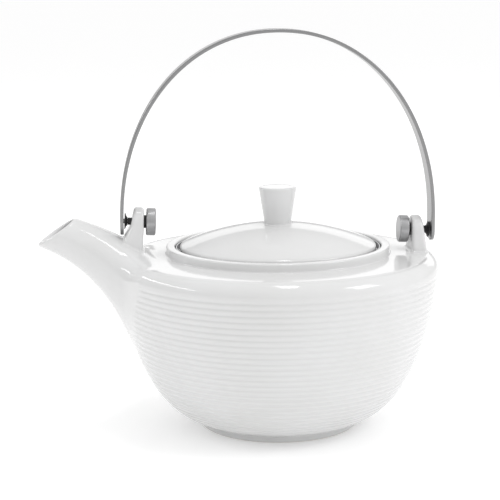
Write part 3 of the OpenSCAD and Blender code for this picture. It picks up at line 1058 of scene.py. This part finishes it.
def bail():
    """The bail: one flat strip, straight up from the rear pivot, then a wide arch down to the spout pivot."""
    half_span = bail_high.x
    half_w = bail_high.y
    spout_z = disc_centre(SPOUT_SIDE).z
    rear_z = disc_centre(REAR_SIDE).z
    centre_span = half_span - STRIP_T / 2
    centre_rise = bail_high.z - STRIP_T / 2 - spout_z
    angles = np.radians(np.linspace(0, 180, 121))
    c, s = np.cos(angles), np.sin(angles)
    power = 2 / ARCH_POWER
    arch = np.stack([
        np.sign(c) * centre_span * np.abs(c) ** power, spout_z + centre_rise * np.abs(s) ** power
    ], 1)
    leg = np.stack([np.full(4, centre_span), np.linspace(rear_z, spout_z, 5)[:-1]], 1)
    path = np.vstack([leg, arch])
    dense = running_length(path)
    path = along(path, dense, np.linspace(0, dense[-1], 150))
    slope = np.gradient(path, axis=0)
    slope /= np.linalg.norm(slope, axis=1)[:, None]
    slope[0], slope[-1] = (0, 1), (0, -1)
    normal = np.stack([slope[:, 1], -slope[:, 0]], 1)

    def ring(centre, out, half_v, corner_v, half_u, corner_u):
        section = rounded_section(half_u, half_v, corner_u, corner_v, 3, 7)
        return [(centre[0] + out[0] * u, v, centre[1] + out[1] * u) for u, v in section]

    def end_rings(pivot, out, psis):
        rings = []
        for psi in psis:
            drop = half_w * math.sin(psi)
            half_v = half_w * math.cos(psi)
            flat_v = math.sqrt(max(0.0, (half_w - STRIP_EDGE) ** 2 - drop ** 2))
            over = max(0.0, drop - half_w + STRIP_EDGE)
            thin = STRIP_EDGE - math.sqrt(max(0.0, STRIP_EDGE ** 2 - over ** 2))
            rings.append(ring(
                (pivot[0], pivot[1] - drop), out, half_v, min(half_v * 0.98, half_v - flat_v),
                STRIP_T / 2 - thin, STRIP_EDGE - min(thin, STRIP_EDGE * 0.9),
            ))
        return rings

    psis = np.radians([89, 86, 82, 77, 71, 64, 56, 47, 37, 26, 13])
    rings = end_rings(path[0], normal[0], psis)
    for point, out in zip(path, normal):
        rings.append(ring(point, out, half_w, STRIP_EDGE, STRIP_T / 2, STRIP_EDGE))
    rings += end_rings(path[-1], normal[-1], psis[::-1])
    piece = loft("bail_strip_piece", rings, STRIP_STEEL, 40)
    cutters = []
    for side in (SPOUT_SIDE, REAR_SIDE):
        _, end, head_r = pivot_reach(f"{SIDE_NAMES[side]}_screw", side)
        head_r += 0.03
        cutters.append(lathe("drill", [
            (0, end - 6), (SCREW_BORE, end - 6), (SCREW_BORE, end - SCREW_HEAD_T),
            (head_r, end - 0.15), (head_r, end + 2), (0, end + 2),
        ], STRIP_STEEL, 48, None, pivot_place(side)))
    cut(piece, cutters)
    tidy_mesh(piece.data, 35)
    stand_for(piece, "bail", "bail_strip")


def screw_outline(start, end, head_r):
    """A countersunk screw with a hexagon socket in its head."""
    return np.vstack([
        [(0, start), (SHANK_R - 0.15, start), (SHANK_R, start + 0.15), (SHANK_R, end - SCREW_HEAD_T)],
        rounded([(SHANK_R, end - SCREW_HEAD_T, 0), (head_r, end, 0.25), (SOCKET_R + 0.25, end, 0)], 3)[1:],
        [(SOCKET_R, end - 0.1), (SOCKET_R, end - SOCKET_DEPTH), (0, end - SOCKET_DEPTH - 0.25)],
    ])


def disc_nut_outline(start, end, disc_r):
    """A thick disc with chamfered edges, and a blind bore for the screw."""
    nut = rounded([
        (0, start, 0), (disc_r - 0.5, start, 0.15), (disc_r, start + 0.5, 0.15), (disc_r, end - 0.5, 0.15),
        (disc_r - 0.5, end, 0.15), (SHANK_R + 0.25, end, 0), (SHANK_R + 0.02, end - 0.25, 0),
        (SHANK_R + 0.02, start + 0.9, 0), (0, start + 0.9, 0),
    ], 3)
    face = [(r, start) for r in (1.5, 3.0, 4.5, 6.0)]
    return np.vstack([nut[:1], face, nut[1:]])


def inner_washer_outline(start, end, washer_r):
    """A plain rubber washer with a soft outer edge."""
    return rounded([
        (SCREW_BORE, start, 0), (washer_r, start, 0.3), (washer_r, end, 0.3), (SCREW_BORE, end, 0),
        (SCREW_BORE, start, 0),
    ], 3)


def outer_washer_outline(start, end, flare_r):
    """A rubber washer that flares out towards the strip."""
    flare = cubic([
        (2.3, start), (2.4, start + 0.5), (2.9, end - 0.8), (flare_r, end - 0.45),
    ], np.linspace(0, 1, 8))
    rim = rounded([(flare_r, end - 0.45, 0), (flare_r, end, 0.15), (SCREW_BORE, end, 0)], 3)[1:]
    return np.vstack([[(SCREW_BORE, start)], flare, rim, [(SCREW_BORE, start)]])


def sleeve_outline(start, end, sleeve_r):
    """The rubber sleeve that lines the lug's bore and stands out of it."""
    return rounded([
        (SCREW_BORE, start, 0), (sleeve_r, start, 0.1), (sleeve_r, end, 0.15), (SCREW_BORE, end, 0),
        (SCREW_BORE, start, 0),
    ], 2)


PIVOT_PARTS = [
    ("screw", screw_outline, TURNED_STEEL, "bail", "turned_steel"),
    ("disc_nut", disc_nut_outline, TURNED_STEEL, "bail", "turned_steel"),
    ("inner_washer", inner_washer_outline, RUBBER, "bail", "black_rubber"),
    ("outer_washer", outer_washer_outline, RUBBER, "bail", "black_rubber"),
    ("sleeve", sleeve_outline, RUBBER, "pot", "black_rubber"),
]


def pivot_hardware(side):
    """The screw, disc nut, washers and sleeve of one pivot, each in place of its CAD node."""
    for part, outline_of, material, body, slot in PIVOT_PARTS:
        node = f"{SIDE_NAMES[side]}_{part}"
        outline = outline_of(*pivot_reach(node, side))
        socket = tuple(k for k, (r, z) in enumerate(outline) if r == SOCKET_R)
        piece = lathe(f"{node}_piece", outline, material, 64, 35, pivot_place(side), socket)
        stand_for(piece, body, node)


# ---- Camera, floor and light ----

CAMERA_POSITION = Vector((-81.6, -778.4, 236.3)) * MM
CAMERA_AZIMUTH = math.radians(4.9)
CAMERA_PITCH = math.radians(10.35)
CAMERA_ROLL = math.radians(-0.52)
CAMERA_LENS = 108.0
ROOM_BRIGHT_SIDE = (0.40, -0.10, 0.80)
ROOM_DARK = 0.14
ROOM_BRIGHT = 1.0
FLOOR_GLOW = 0.2


def camera():
    """A camera in front of the pot, a little towards its spout, looking slightly down."""
    forward = Vector((
        math.sin(CAMERA_AZIMUTH) * math.cos(CAMERA_PITCH),
        math.cos(CAMERA_AZIMUTH) * math.cos(CAMERA_PITCH),
        -math.sin(CAMERA_PITCH),
    ))
    right = forward.cross(Vector((0, 0, 1))).normalized()
    above = right.cross(forward)
    turned_right = math.cos(CAMERA_ROLL) * right + math.sin(CAMERA_ROLL) * above
    turned_above = math.cos(CAMERA_ROLL) * above - math.sin(CAMERA_ROLL) * right
    data = bpy.data.cameras.new("camera")
    data.lens = CAMERA_LENS
    data.sensor_width = 36.0
    data.clip_start = 0.01
    eye = bpy.data.objects.new("camera", data)
    eye.matrix_world = Matrix((
        (turned_right.x, turned_above.x, -forward.x, CAMERA_POSITION.x),
        (turned_right.y, turned_above.y, -forward.y, CAMERA_POSITION.y),
        (turned_right.z, turned_above.z, -forward.z, CAMERA_POSITION.z),
        (0, 0, 0, 1),
    ))
    bpy.context.scene.collection.objects.link(eye)
    bpy.context.scene.camera = eye


def floor():
    """A plain white floor that is wide enough to be the background too."""
    material, tree, shader = new_material("white_floor")
    shader.inputs["Base Color"].default_value = (0.9, 0.9, 0.9, 1)
    shader.inputs["Roughness"].default_value = 0.9
    shader.inputs["Emission Color"].default_value = (1, 1, 1, 1)
    shader.inputs["Emission Strength"].default_value = FLOOR_GLOW
    half = 60000
    corners = [(-half, -half, 0), (half, -half, 0), (half, half, 0), (-half, half, 0)]
    mesh_object("floor", corners, [(0, 1, 2, 3)], material)


def area_light(name, place, size_x, size_y, power, target=(0, 0, 0.08)):
    """A soft rectangular light that faces the target."""
    data = bpy.data.lights.new(name, "AREA")
    data.shape = "RECTANGLE"
    data.size = size_x
    data.size_y = size_y
    data.energy = power
    lamp = bpy.data.objects.new(name, data)
    lamp.location = place
    lamp.rotation_euler = (Vector(target) - Vector(place)).to_track_quat("-Z", "Y").to_euler()
    bpy.context.scene.collection.objects.link(lamp)


def lighting():
    """A white room, brightest above and on the right, with lights on both sides, above and behind."""
    world = bpy.data.worlds.new("white_room")
    world.use_nodes = True
    tree = world.node_tree
    background = tree.nodes["Background"]
    background.inputs["Color"].default_value = (1, 1, 1, 1)
    place = tree.nodes.new("ShaderNodeTexCoord")
    facing = tree.nodes.new("ShaderNodeVectorMath")
    facing.operation = "DOT_PRODUCT"
    facing.inputs[1].default_value = Vector(ROOM_BRIGHT_SIDE).normalized()
    link(tree, place, "Generated", facing, 0)
    level = add_range(tree, facing, "Value", ROOM_DARK, ROOM_BRIGHT, -1, 1)
    level.interpolation_type = "SMOOTHSTEP"
    link(tree, level, "Result", background, "Strength")
    bpy.context.scene.world = world
    bpy.context.scene.view_settings.view_transform = "Standard"
    area_light("key_right", (1.1, -0.5, 1.1), 0.5, 0.5, 4)
    area_light("strip_left", (-1.3, 0.2, 0.8), 1.6, 0.12, 4)
    area_light("top", (0.1, 0.0, 1.6), 0.6, 0.2, 3)
    area_light("behind", (0.2, 2.0, 0.58), 2.6, 0.5, 3)


camera()
floor()
lighting()
pot()
lid()
basket_rim()
basket_wall()
basket_base()
bail()
for pivot_side in (SPOUT_SIDE, REAR_SIDE):
    pivot_hardware(pivot_side)

bpy.context.view_layer.update()
